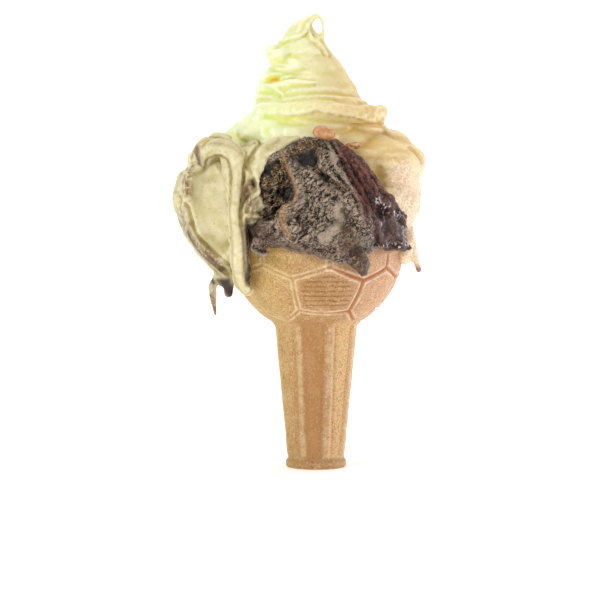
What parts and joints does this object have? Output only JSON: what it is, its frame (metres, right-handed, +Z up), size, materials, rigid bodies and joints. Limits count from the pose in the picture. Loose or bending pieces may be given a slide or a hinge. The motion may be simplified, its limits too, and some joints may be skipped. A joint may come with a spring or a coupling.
{
  "type": "gelato in wafer cup",
  "caption": "Gelato heap of cream, pistachio and chocolate spread over the rim of a round moulded wafer bowl with football panels on a ribbed stem.",
  "frame": {"origin": "centre of the stem's flat foot, on the surface it stands on", "axes": "+Z up along the cup's axis; -Y toward the viewer, the side with the chocolate; +X to the viewer's right"},
  "size_m": [0.0959, 0.0905, 0.1719],
  "materials": {
    "wafer": "matte",
    "cream": "satin",
    "pistachio": "satin",
    "chocolate": "satin"
  },
  "bodies": {
    "root": {"cup": "wafer", "cream_gelato": "cream", "pistachio_gelato": "pistachio", "chocolate_gelato": "chocolate"}
  },
  "joints": []
}
